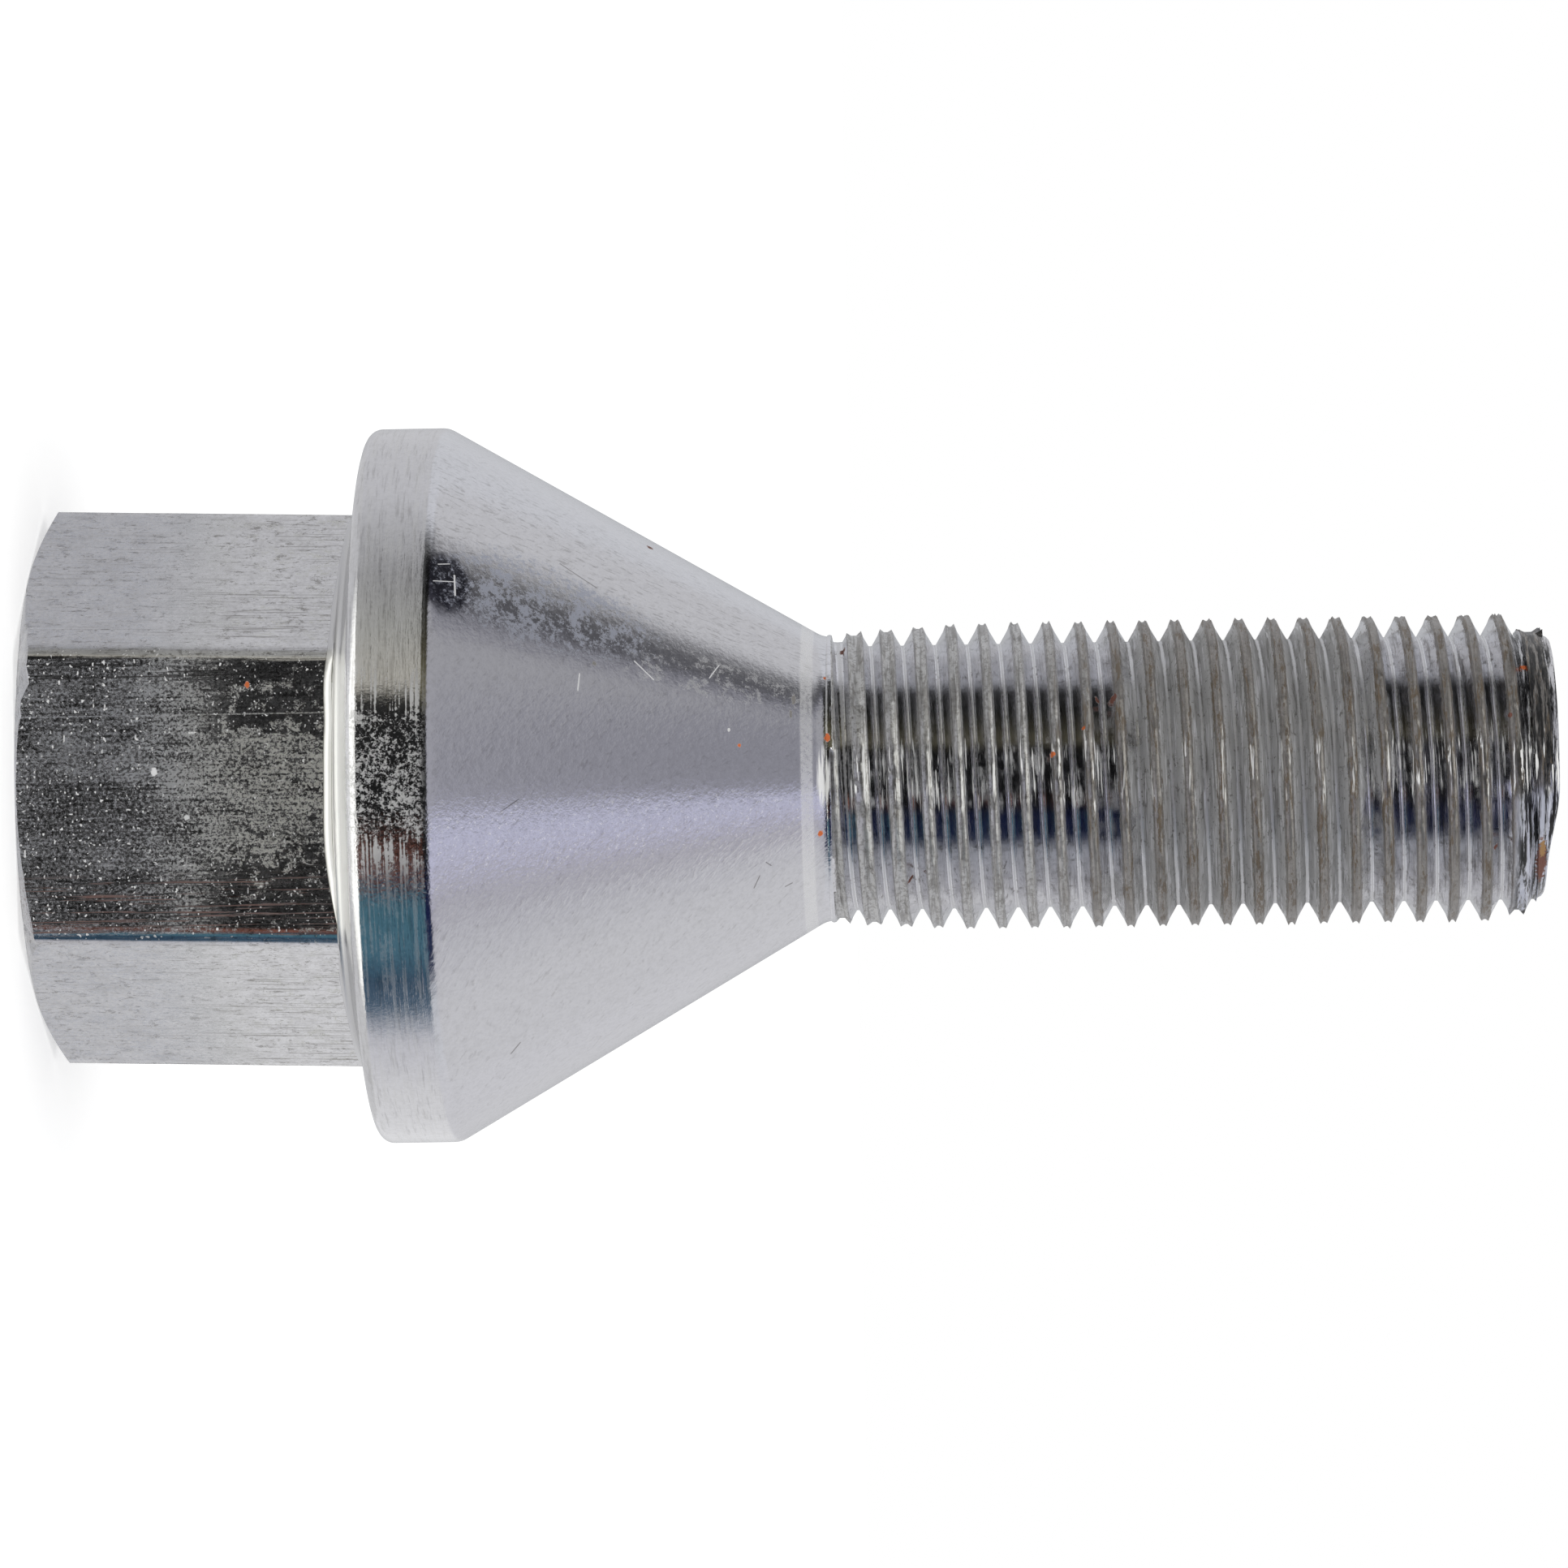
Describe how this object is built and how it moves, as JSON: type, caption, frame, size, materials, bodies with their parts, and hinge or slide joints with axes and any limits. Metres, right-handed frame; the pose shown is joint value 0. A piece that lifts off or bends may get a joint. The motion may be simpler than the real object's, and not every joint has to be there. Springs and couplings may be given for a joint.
{
  "type": "wheel bolt",
  "caption": "Car wheel bolt with a hex head, a round flange, a cone seat and a right-hand fine thread, which clamps a wheel to its hub.",
  "frame": {"origin": "centre of the flat end face of the hex head", "axes": "+Z along the bolt's axis, from the head to the thread's tip; two flats of the hex face +Y and -Y"},
  "size_m": [0.0278, 0.0278, 0.0587],
  "materials": {
    "plated_steel": "zinc plated steel, brushed and speckled with wear, a little rust"
  },
  "bodies": {
    "root": {"wheel_bolt": "plated_steel"}
  },
  "joints": []
}
